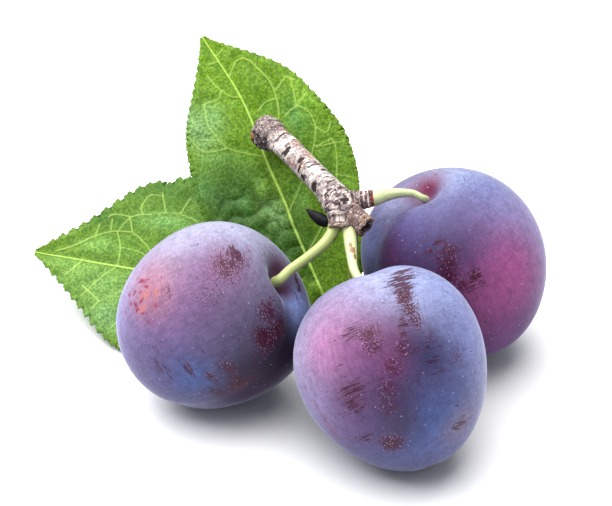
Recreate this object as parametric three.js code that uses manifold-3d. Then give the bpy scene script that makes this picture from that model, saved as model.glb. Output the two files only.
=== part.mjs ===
// A picked sprig of the European plum: three ripe fruits on their green stalks, joined to one short
// piece of woody spur, with two leaves that grow from the same spur. It lies on a table on the
// three fruits. Units are millimetres, +Z is up, +X runs from the leaf tips to the far fruit, and
// +Y runs away from the foremost fruit.
import * as THREE from "three";
import Module from "manifold-3d";
import { mergeVertices } from "three/addons/utils/BufferGeometryUtils.js";

const wasm = await Module();
wasm.setup();

// ---------------------------------------------------------------- driving dimensions
const ORIGIN = [-1.8, 5.3, 0]; // the part's origin, under the middle of its box, in the layout below
const GAP = 0.35; // between pieces that meet
const FLAT_SINK = 0.3; // how far a fruit's round underside is flattened where it rests

const FRUITS = {
  left: {
    centre: [-17.6, -5.1],
    stalkEnd: [0.794, -0.056, 0.606], // where its stalk axis points
    seam: [0.29, -0.84, -0.458], // the side that the seam runs down
    halfDepth: 20.2, // from the seam to the back
    halfWidth: 21.5, // across the seam
    halfTall: 21.5, // along the stalk axis
    square: 0.029, // fullness of the shoulders
    taper: 0.064, // how much broader the stalk end is
    bow: [1.2, -1.1], // how far the two ends lean out of line with the middle
    hollowDepth: 5.2,
    hollowWidth: 5.4,
    seamDepth: 1.0,
    seamLean: 0,
  },
  front: {
    centre: [21.85, -26.27],
    stalkEnd: [-0.35, 0.625, 0.698],
    seam: [0.217, -0.67, 0.71],
    halfDepth: 21.3,
    halfWidth: 20.6,
    halfTall: 22.8,
    square: 0.003,
    taper: 0.1,
    bow: [-2.4, 1.3],
    hollowDepth: 5.0,
    hollowWidth: 5.2,
    seamDepth: 0.55,
    seamLean: 0.35,
  },
  right: {
    centre: [37.6, 15.7],
    stalkEnd: [-0.39, 0.07, 0.918],
    seam: [-0.814, -0.465, -0.347],
    halfDepth: 20.5,
    halfWidth: 23.3,
    halfTall: 22.7,
    square: 0,
    taper: 0.067,
    bow: [0.8, 1.2],
    hollowDepth: 5.6,
    hollowWidth: 5.6,
    seamDepth: 1.1,
    seamLean: 0,
  },
};

// ---------------------------------------------------------------- fruit
const FRUIT_TURNS = 40; // faces round a fruit
const FRUIT_RINGS = 26; // rings from the stalk end to the tip
const SEAM_WIDTH = 2.6; // of the furrow, and how much wider it is on the shoulder
const SEAM_SHOULDER_WIDTH = 1.2;
const SEAM_FADE = 6; // how far from the stalk's axis the furrow is fully there
const HOLLOW_FALL = 1.6; // how fast the hollow levels out to its rim
const TIP_PIT = 0.7; // the pit at the tip: its depth, and how narrow it is beside the hollow
const TIP_PIT_NARROWING = 2.2;

const gauss = (x, w) => Math.exp(-((x / w) ** 2));
const smooth = (t) => {
  const c = Math.min(1, Math.max(0, t));
  return c * c * (3 - 2 * c);
};

// A point of a fruit's skin in its own frame: +Z to the stalk, +X to the seam.
function skinPoint(f, polar, turn) {
  const s = Math.sin(polar);
  const c = Math.cos(polar);
  const full = 1 + f.square * (1 - Math.cos(4 * polar)) * 0.5;
  const broad = full * (1 + f.taper * c);
  let x = f.halfDepth * s * Math.cos(turn) * broad + f.bow[0] * c * c;
  const y = f.halfWidth * s * Math.sin(turn) * broad + f.bow[1] * c * c;
  let z = f.halfTall * c * full;
  // the seam: a shallow furrow down one side, deepest where it leaves the stalk's hollow
  const side = smooth((x - 1) / SEAM_FADE);
  const shoulder = gauss(polar - 0.5, 0.45);
  const line = f.seamLean * z * (1 - c ** 6);
  const width = SEAM_WIDTH + SEAM_SHOULDER_WIDTH * shoulder;
  const furrow = side * f.seamDepth * (0.45 + 0.9 * shoulder) * gauss(y - line, width);
  x -= furrow * s;
  z -= furrow * c;
  // the hollow that the stalk stands in
  const out = Math.hypot(x - f.bow[0], y - f.bow[1]) / f.hollowWidth;
  if (c > 0) z -= f.hollowDepth / (1 + out * out) ** HOLLOW_FALL;
  // the small pit at the tip
  if (c < 0) z += TIP_PIT / (1 + (out * TIP_PIT_NARROWING) ** 2) ** 2;
  return new THREE.Vector3(x, y, z);
}

// The frame of a fruit: its seam, its side and its stalk axis, as the columns of a rotation.
function fruitFrame(f) {
  const axis = new THREE.Vector3(...f.stalkEnd).normalize();
  const seam = new THREE.Vector3(...f.seam);
  seam.addScaledVector(axis, -seam.dot(axis)).normalize();
  const side = new THREE.Vector3().crossVectors(axis, seam);
  return new THREE.Matrix4().makeBasis(seam, side, axis);
}

// How high a fruit's middle stands when its underside is flattened by FLAT_SINK.
function restHeight(f) {
  const frame = fruitFrame(f);
  let lowest = 0;
  for (let i = 0; i <= 180; i++)
    for (let k = 0; k < 360; k += 2) {
      const p = skinPoint(f, (i * Math.PI) / 180, (k * Math.PI) / 180).applyMatrix4(frame);
      lowest = Math.min(lowest, p.z);
    }
  return -lowest - FLAT_SINK;
}

const seated = (f) => fruitFrame(f).setPosition(f.centre[0], f.centre[1], restHeight(f));

function fruitGeometry(f) {
  const frame = seated(f);
  const place = (polar, turn) => {
    const p = skinPoint(f, polar, turn).applyMatrix4(frame);
    return [p.x, p.y, Math.max(0, p.z)];
  };
  const points = [place(0, 0)];
  for (let i = 1; i < FRUIT_RINGS; i++) {
    const t = i / FRUIT_RINGS;
    const polar = Math.PI * (t - 0.05 * Math.sin(2 * Math.PI * t)); // closer rings in the hollow
    for (let k = 0; k < FRUIT_TURNS; k++) {
      const a = (2 * Math.PI * k) / FRUIT_TURNS;
      points.push(place(polar, a - 0.35 * Math.sin(a))); // closer columns at the seam
    }
  }
  points.push(place(Math.PI, 0));
  return closedRings(points, FRUIT_RINGS - 1, FRUIT_TURNS);
}

// ---------------------------------------------------------------- helpers for closed shapes
// Points are a first pole, rings of the same count, and a last pole.
function closedRings(points, rings, sides) {
  const index = [];
  const at = (ring, side) => 1 + ring * sides + (side % sides);
  const last = points.length - 1;
  for (let k = 0; k < sides; k++) index.push(0, at(0, k), at(0, k + 1));
  for (let r = 0; r + 1 < rings; r++)
    for (let k = 0; k < sides; k++) {
      index.push(at(r, k), at(r + 1, k), at(r + 1, k + 1));
      index.push(at(r, k), at(r + 1, k + 1), at(r, k + 1));
    }
  for (let k = 0; k < sides; k++) index.push(at(rings - 1, k), last, at(rings - 1, k + 1));
  return new THREE.BufferGeometry()
    .setAttribute("position", new THREE.Float32BufferAttribute(points.flat(), 3))
    .setIndex(index);
}

// A round rod along a smooth curve. radiusAt(t, angle) is its radius from the first end to the last,
// and grow makes it longer at both ends.
function rod(path, steps, sides, radiusAt, grow = 0) {
  const curve = new THREE.CatmullRomCurve3(
    path.map((p) => new THREE.Vector3(...p)),
    false,
    "catmullrom",
  );
  const frames = curve.computeFrenetFrames(steps, false);
  const longer = (t) => {
    const more = { 0: -grow, 1: grow }[t] ?? 0;
    return curve.getPointAt(t).addScaledVector(curve.getTangentAt(t), more);
  };
  const points = [longer(0).toArray()];
  for (let i = 0; i <= steps; i++) {
    const t = i / steps;
    const middle = longer(t);
    for (let k = 0; k < sides; k++) {
      const a = (-2 * Math.PI * k) / sides;
      const r = radiusAt(t, a);
      const p = middle
        .clone()
        .addScaledVector(frames.normals[i], r * Math.cos(a))
        .addScaledVector(frames.binormals[i], r * Math.sin(a));
      points.push(p.toArray());
    }
  }
  points.push(longer(1).toArray());
  return closedRings(points, steps + 1, sides);
}

// A table of values by share of length, joined by straight lines.
const profile = (table) => (t) => {
  let i = 1;
  while (i < table.length - 1 && table[i][0] < t) i++;
  const [t0, v0] = table[i - 1];
  const [t1, v1] = table[i];
  return v0 + ((v1 - v0) * (t - t0)) / (t1 - t0);
};

function solid(geometry) {
  const g = mergeVertices(geometry, 1e-4);
  return new wasm.Manifold(
    new wasm.Mesh({
      numProp: 3,
      vertProperties: g.attributes.position.array,
      triVerts: new Uint32Array(g.index.array),
    }),
  );
}

function geometryOf(body) {
  const m = body.getMesh();
  return new THREE.BufferGeometry()
    .setAttribute("position", new THREE.BufferAttribute(new Float32Array(m.vertProperties), 3))
    .setIndex(new THREE.BufferAttribute(new Uint32Array(m.triVerts), 1));
}

const joined = (geometries) => geometries.map(solid).reduce((a, b) => a.add(b));

// ---------------------------------------------------------------- twig
// The woody spur: a cut stem with a swollen end, the knuckle that everything grows from, a short
// ringed spur to each side and the stub of an old broken one.
const STEM = [
  [11.0, 7.4, 39.2], [10.7, 9.7, 40.9], [8.5, 14.0, 42.1], [5.3, 19.6, 42.6],
  [2.3, 24.6, 43.0], [-1.3, 30.1, 44.2], [-5.4, 35.3, 44.7], [-6.9, 37.2, 44.9],
];
const STEM_RADIUS = [
  [0, 2.7], [0.07, 3.7], [0.2, 3.3], [0.3, 2.95], [0.8, 2.85],
  [0.87, 3.2], [0.92, 4.0], [0.97, 4.05], [1, 3.6],
];
const LOWER_SPUR = [[10.8, 9.0, 40.2], [10.9, 7.4, 38.6], [11.0, 6.0, 37.2]];
const LOWER_RADIUS = [[0, 2.4], [0.6, 2.7], [1, 3.0]];
const RIGHT_SPUR = [[12.3, 10.6, 41.2], [15.2, 10.9, 41.7], [18.2, 11.1, 42.0]];
const RIGHT_RADIUS = [[0, 2.4], [0.5, 1.9], [1, 1.95]];
const STUB = [[12.4, 8.6, 40.2], [14.6, 6.6, 39.2], [16.7, 4.8, 38.3]];
const STUB_RADIUS = [[0, 2.1], [0.6, 2.1], [1, 2.4]];

const SPUR_SIDES = 12;
const RING_DEPTH = 0.05; // of the rings round the short spurs, as a share of their radius
const LUMP_DEPTH = 0.03; // of the stem's slow swellings, the wrinkles across it
const WRINKLE_DEPTH = 0.025;
const TEAR_DEPTH = 0.12; // and the stub's torn end

// grow makes every part of it fatter and longer, to leave a gap round it.
function twigSolid(grow) {
  const ringed = (path, table, steps, rings) => {
    const wave = (t) => 1 + RING_DEPTH * Math.cos(2 * Math.PI * rings * t);
    return rod(path, steps, SPUR_SIDES, (t) => profile(table)(t) * wave(t) + grow, grow);
  };
  const lumps = (t, a) => 1 + LUMP_DEPTH * Math.sin(3 * a + 9 * t) + WRINKLE_DEPTH * Math.sin(44 * t);
  const ragged = (t, a) => 1 + TEAR_DEPTH * t * Math.sin(5 * a);
  return joined([
    rod(STEM, 34, 16, (t, a) => profile(STEM_RADIUS)(t) * lumps(t, a) + grow, grow),
    ringed(LOWER_SPUR, LOWER_RADIUS, 12, 3),
    ringed(RIGHT_SPUR, RIGHT_RADIUS, 16, 4),
    rod(STUB, 10, 10, (t, a) => profile(STUB_RADIUS)(t) * ragged(t, a) + grow, grow),
  ]);
}

const TWIG_CLEARANCE = twigSolid(GAP);
// Something that grows from the spur stops just short of its bark.
const grownFromTwig = (geometry) => {
  const parts = solid(geometry).subtract(TWIG_CLEARANCE).decompose();
  return geometryOf(parts.reduce((a, b) => (a.volume() > b.volume() ? a : b)));
};

// A dark pointed leaf bud.
const BUD_PATH = [[9.6, 8.4, 38.4], [7.4, 8.2, 37.8], [5.2, 9.6, 38.3], [3.1, 11.4, 39.0]];
const BUD_RADIUS = [[0, 1.2], [0.45, 1.45], [0.75, 0.95], [1, 0.12]];

// ---------------------------------------------------------------- stalks
// Each runs from the floor of its fruit's hollow into its seat on the spur.
const STALKS = {
  left: {
    path: [
      [-2.4, -8.0, 33.0], [-0.4, -5.9, 33.9], [3.6, -1.5, 34.5],
      [6.9, 2.7, 35.0], [8.9, 5.4, 36.3], [9.6, 6.8, 37.9],
    ],
    radius: [[0, 1.3], [0.12, 1.2], [0.55, 1.25], [0.8, 1.4], [1, 1.5]], // by share of the length
  },
  front: {
    path: [
      [14.3, -9.7, 34.75], [13.5, -6.8, 35.3], [13.2, -2.5, 35.8],
      [13.0, 1.6, 36.4], [12.8, 4.8, 37.2], [12.4, 6.8, 38.6],
    ],
    radius: [[0, 1.15], [0.15, 1.0], [0.35, 1.05], [0.65, 1.4], [1, 1.65]],
  },
  right: {
    path: [
      [29.6, 14.4, 40.85], [27.2, 14.6, 41.35], [23.8, 13.5, 41.9],
      [20.6, 12.3, 42.1], [18.4, 11.2, 42.0], [16.0, 11.0, 41.8],
    ],
    radius: [[0, 1.1], [0.15, 0.95], [0.4, 1.05], [0.6, 1.35], [0.75, 1.7], [1, 1.9]],
  },
};

const HOLLOW_FLOOR_CLEARANCE = 1.3; // the foot of a stalk over the lowest point of the hollow
const STALK_STEPS = 18;
const STALK_SIDES = 10;

function stalkGeometry(side) {
  const { path, radius } = STALKS[side];
  const fruit = FRUITS[side];
  const foot = skinPoint(fruit, 0, 0).add(new THREE.Vector3(0, 0, HOLLOW_FLOOR_CLEARANCE));
  const start = foot.applyMatrix4(seated(fruit)).toArray();
  return rod([start, ...path], STALK_STEPS, STALK_SIDES, profile(radius));
}

// ---------------------------------------------------------------- leaves
const BLADE = 0.7; // a blade's thickness
const TEETH = 40; // along each edge
const TOOTH_OUT = 0.5; // how far a tooth stands out, and the notch beside it goes in
const NOTCH_IN = 0.25;
const TOOTH_LEAN = 0.6; // how far a tooth leans to the tip, for its length
const FULL_TEETH = 6; // half-width from which teeth have their full size
const COLUMNS = [-1, -0.72, -0.38, 0, 0.38, 0.72, 1]; // of points across a blade
const LEAVES = {
  upper: {
    midrib: [
      [8.9, 11.9, 10.4], [2.2, 22.9, 23.1], [-5.2, 34.2, 35.3], [-11.8, 45.4, 47.8], [-20.7, 56.6, 58.9],
    ],
    across: [0.93, 0.2, 0.31], // from the left edge to the right edge
    // half-widths by share of the length, from the base to the tip
    left: [
      [0, 0.6], [0.05, 6.2], [0.12, 10.8], [0.25, 16.0], [0.38, 18.6], [0.5, 18.3], [0.6, 17.2],
      [0.7, 15.9], [0.78, 13.5], [0.85, 9.3], [0.92, 4.6], [0.97, 2.0], [1, 0.5],
    ],
    right: [
      [0, 0.6], [0.06, 5.4], [0.15, 10.2], [0.25, 14.2], [0.32, 16.9], [0.38, 18.5], [0.45, 19.3],
      [0.53, 19.6], [0.61, 18.2], [0.7, 15.3], [0.76, 13.3], [0.82, 10.0], [0.9, 5.3], [0.96, 2.2],
      [1, 0.5],
    ],
    fold: 0.1, // how far the halves rise beside the midrib
    droop: 0.004, // and sink again towards the edge
    petiole: [
      [12.1, 8.6, 39.0], [12.7, 7.2, 34.0], [13.5, 6.6, 25.0], [13.4, 6.2, 14.0], [12.6, 7.3, 8.6],
      [10.7, 9.7, 8.3],
    ],
  },
  lower: {
    midrib: [
      [8.2, 17.4, 6.6], [-9.2, 21.4, 10.1], [-26.5, 27.4, 10.0], [-44.1, 31.6, 10.7], [-61.9, 34.4, 12.5],
    ],
    across: [0.1, 0.89, 0.45],
    left: [
      [0, 0.6], [0.08, 6.5], [0.2, 11.0], [0.3, 14.0], [0.4, 17.8], [0.5, 21.0], [0.58, 22.2],
      [0.66, 20.9], [0.73, 17.2], [0.8, 12.7], [0.87, 7.8], [0.93, 4.4], [0.97, 2.2], [1, 0.5],
    ],
    right: [
      [0, 0.6], [0.08, 9.0], [0.2, 17.5], [0.35, 24.5], [0.47, 26.9], [0.57, 26.7], [0.66, 24.2],
      [0.73, 20.9], [0.78, 16.2], [0.84, 10.4], [0.9, 6.4], [0.96, 3.2], [1, 0.5],
    ],
    fold: 0.14,
    droop: 0.004,
    petiole: [
      [13.6, 9.8, 39.4], [14.0, 9.5, 34.0], [14.2, 9.1, 24.0], [14.7, 10.2, 12.0], [14.2, 13.2, 6.0],
      [11.6, 16.6, 5.4],
    ],
  },
};

function bladeFrame(leaf) {
  const curve = new THREE.CatmullRomCurve3(
    leaf.midrib.map((p) => new THREE.Vector3(...p)),
    false,
    "catmullrom",
  );
  return (u) => {
    const at = curve.getPoint(u);
    const along = curve.getTangent(u);
    const across = new THREE.Vector3(...leaf.across);
    across.addScaledVector(along, -across.dot(along)).normalize();
    const up = new THREE.Vector3().crossVectors(across, along).normalize();
    return { at, along, across, up };
  };
}

// v runs from -1 at the left edge to 1 at the right edge. tooth is how far an edge point stands out.
function bladePoint(leaf, { at, along, across, up }, u, v, tooth) {
  const half = profile(v < 0 ? leaf.left : leaf.right)(u);
  const reach = half * v + Math.sign(v) * tooth * Math.min(1, half / FULL_TEETH);
  const rise = leaf.fold * Math.abs(reach) - leaf.droop * reach * reach;
  const p = at.clone().addScaledVector(across, reach).addScaledVector(up, rise);
  return p.addScaledVector(along, TOOTH_LEAN * tooth);
}

function bladeGeometry(leaf) {
  const frameAt = bladeFrame(leaf);
  const stations = TEETH * 2;
  const wide = COLUMNS.length;
  const points = [];
  const index = [];
  for (const face of [1, -1])
    for (let i = 0; i <= stations; i++) {
      const u = i / stations;
      const frame = frameAt(u);
      for (const v of COLUMNS) {
        const edge = i % 2 ? TOOTH_OUT : -NOTCH_IN;
        const p = bladePoint(leaf, frame, u, v, Math.abs(v) === 1 ? edge : 0);
        points.push(p.addScaledVector(frame.up, (face * BLADE) / 2).toArray());
      }
    }
  const rows = stations + 1;
  const at = (face, i, j) => (face * rows + i) * wide + j;
  const quad = (a, b, c, d) => index.push(a, b, c, a, c, d);
  for (let i = 0; i + 1 < rows; i++) {
    for (let j = 0; j + 1 < wide; j++) {
      quad(at(0, i, j), at(0, i, j + 1), at(0, i + 1, j + 1), at(0, i + 1, j));
      // the same diagonal on the underside
      index.push(at(1, i, j), at(1, i + 1, j + 1), at(1, i, j + 1));
      index.push(at(1, i, j), at(1, i + 1, j), at(1, i + 1, j + 1));
    }
    quad(at(0, i, 0), at(0, i + 1, 0), at(1, i + 1, 0), at(1, i, 0));
    quad(at(0, i + 1, wide - 1), at(0, i, wide - 1), at(1, i, wide - 1), at(1, i + 1, wide - 1));
  }
  for (let j = 0; j + 1 < wide; j++) {
    quad(at(0, 0, j + 1), at(0, 0, j), at(1, 0, j), at(1, 0, j + 1));
    quad(at(0, rows - 1, j), at(0, rows - 1, j + 1), at(1, rows - 1, j + 1), at(1, rows - 1, j));
  }
  return new THREE.BufferGeometry()
    .setAttribute("position", new THREE.Float32BufferAttribute(points.flat(), 3))
    .setIndex(index);
}

// The leaf's own stalk, which runs on under the blade as its midrib and thins out into it.
const RIB_SHARES = [0.02, 0.12, 0.25, 0.4, 0.55, 0.7, 0.85]; // of the blade's length
const RIB_DEPTH = 0.4; // below the middle of the blade, at its base
const PETIOLE_RADIUS = [[0, 1.0], [0.05, 0.85], [0.3, 0.8], [0.45, 0.75], [0.75, 0.5], [1, 0.2]];

function petioleGeometry(leaf) {
  const frameAt = bladeFrame(leaf);
  const ribs = RIB_SHARES.map((u) => {
    const { at, up } = frameAt(u);
    return at.addScaledVector(up, -RIB_DEPTH * (1 - u)).toArray();
  });
  return rod([...leaf.petiole, ...ribs], 48, 8, profile(PETIOLE_RADIUS));
}

const leafGeometry = (leaf) => geometryOf(joined([bladeGeometry(leaf), petioleGeometry(leaf)]));

// ---------------------------------------------------------------- assembly
const finish = (color, roughness) => new THREE.MeshStandardMaterial({ color, roughness, metalness: 0 });
const SKIN = finish(0x7a5f8f, 0.6);
const GREEN_STALK = finish(0xb9c97a, 0.5);
const BARK = finish(0x9c8578, 0.85);
const BUD = finish(0x2a2430, 0.7);
const LEAF = finish(0x6f9b35, 0.55);

const sprig = new THREE.Group();
sprig.position.set(-ORIGIN[0], -ORIGIN[1], -ORIGIN[2]);

function place(name, geometry, material) {
  const mesh = new THREE.Mesh(geometry, material);
  mesh.name = name;
  sprig.add(mesh);
}

for (const side of Object.keys(FRUITS)) {
  place(`plum_${side}`, fruitGeometry(FRUITS[side]), SKIN);
  place(`stalk_${side}`, grownFromTwig(stalkGeometry(side)), GREEN_STALK);
}
place("twig", geometryOf(twigSolid(0)), BARK);
place("bud", grownFromTwig(rod(BUD_PATH, 10, 8, profile(BUD_RADIUS))), BUD);
for (const side of Object.keys(LEAVES)) {
  place(`leaf_${side}`, grownFromTwig(leafGeometry(LEAVES[side])), LEAF);
}

export default sprig;
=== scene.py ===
# A picked sprig of plums: three ripe fruits on green stalks, joined to a short piece of woody spur
# with a dark bud and two toothed leaves. Sizes are millimetres unless a name says otherwise.
import math
import bmesh
import bpy
import numpy as np
from mathutils import Matrix, Vector, noise


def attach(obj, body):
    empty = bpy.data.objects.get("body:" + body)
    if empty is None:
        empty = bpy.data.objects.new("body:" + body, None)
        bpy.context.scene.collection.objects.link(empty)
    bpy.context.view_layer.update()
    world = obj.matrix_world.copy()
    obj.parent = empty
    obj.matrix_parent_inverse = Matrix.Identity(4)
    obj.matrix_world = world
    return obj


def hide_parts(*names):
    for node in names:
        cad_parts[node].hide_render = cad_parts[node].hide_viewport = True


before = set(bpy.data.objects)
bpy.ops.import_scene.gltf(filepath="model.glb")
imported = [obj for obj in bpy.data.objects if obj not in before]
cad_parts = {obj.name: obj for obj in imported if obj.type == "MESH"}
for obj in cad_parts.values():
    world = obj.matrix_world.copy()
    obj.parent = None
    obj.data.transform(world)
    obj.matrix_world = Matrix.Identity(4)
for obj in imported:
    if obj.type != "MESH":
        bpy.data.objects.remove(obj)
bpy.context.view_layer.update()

# ---- fruits ------------------------------------------------------------------------------------
# Three ripe European plums. Each grew as one body: a tight red-purple skin with a hollow for the
# stalk, a seam down one side and a small pit at the tip. It lies on a small flat where it settled.
MM = 0.001
LAYOUT_ORIGIN = Vector((-1.8, 5.3, 0.0))  # where the frame's origin lies in the sprig's layout
FLAT_SINK = 0.3
SEAM_WIDTH = 2.6
SEAM_START = 1.0  # how far out from the fruit's axis the seam begins
SEAM_FADE = 6.0
SHOULDER_POLAR = 0.5  # radians from the stalk, where the seam is widest and deepest
SHOULDER_REACH = 0.45
SHOULDER_WIDTH = 1.2
SHOULDER_DEPTH = 0.9  # share of the seam's depth there, over the share that it has all along
EVEN_DEPTH = 0.45
HOLLOW_FALL = 1.6
TIP_PIT = 0.7
TIP_PIT_NARROWING = 2.2
FRUIT_SEGMENTS = 288
FRUIT_RINGS = 160
MARK_KINDS = ("strokes", "specks", "nicks", "corks")
MARK_DEPTH = 4  # a mark ends this many of its sizes away, short of the far side
SMALL_TURN = 0.05  # radians
BALL_MERGE = 1e-5  # of the ball's radius

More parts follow.
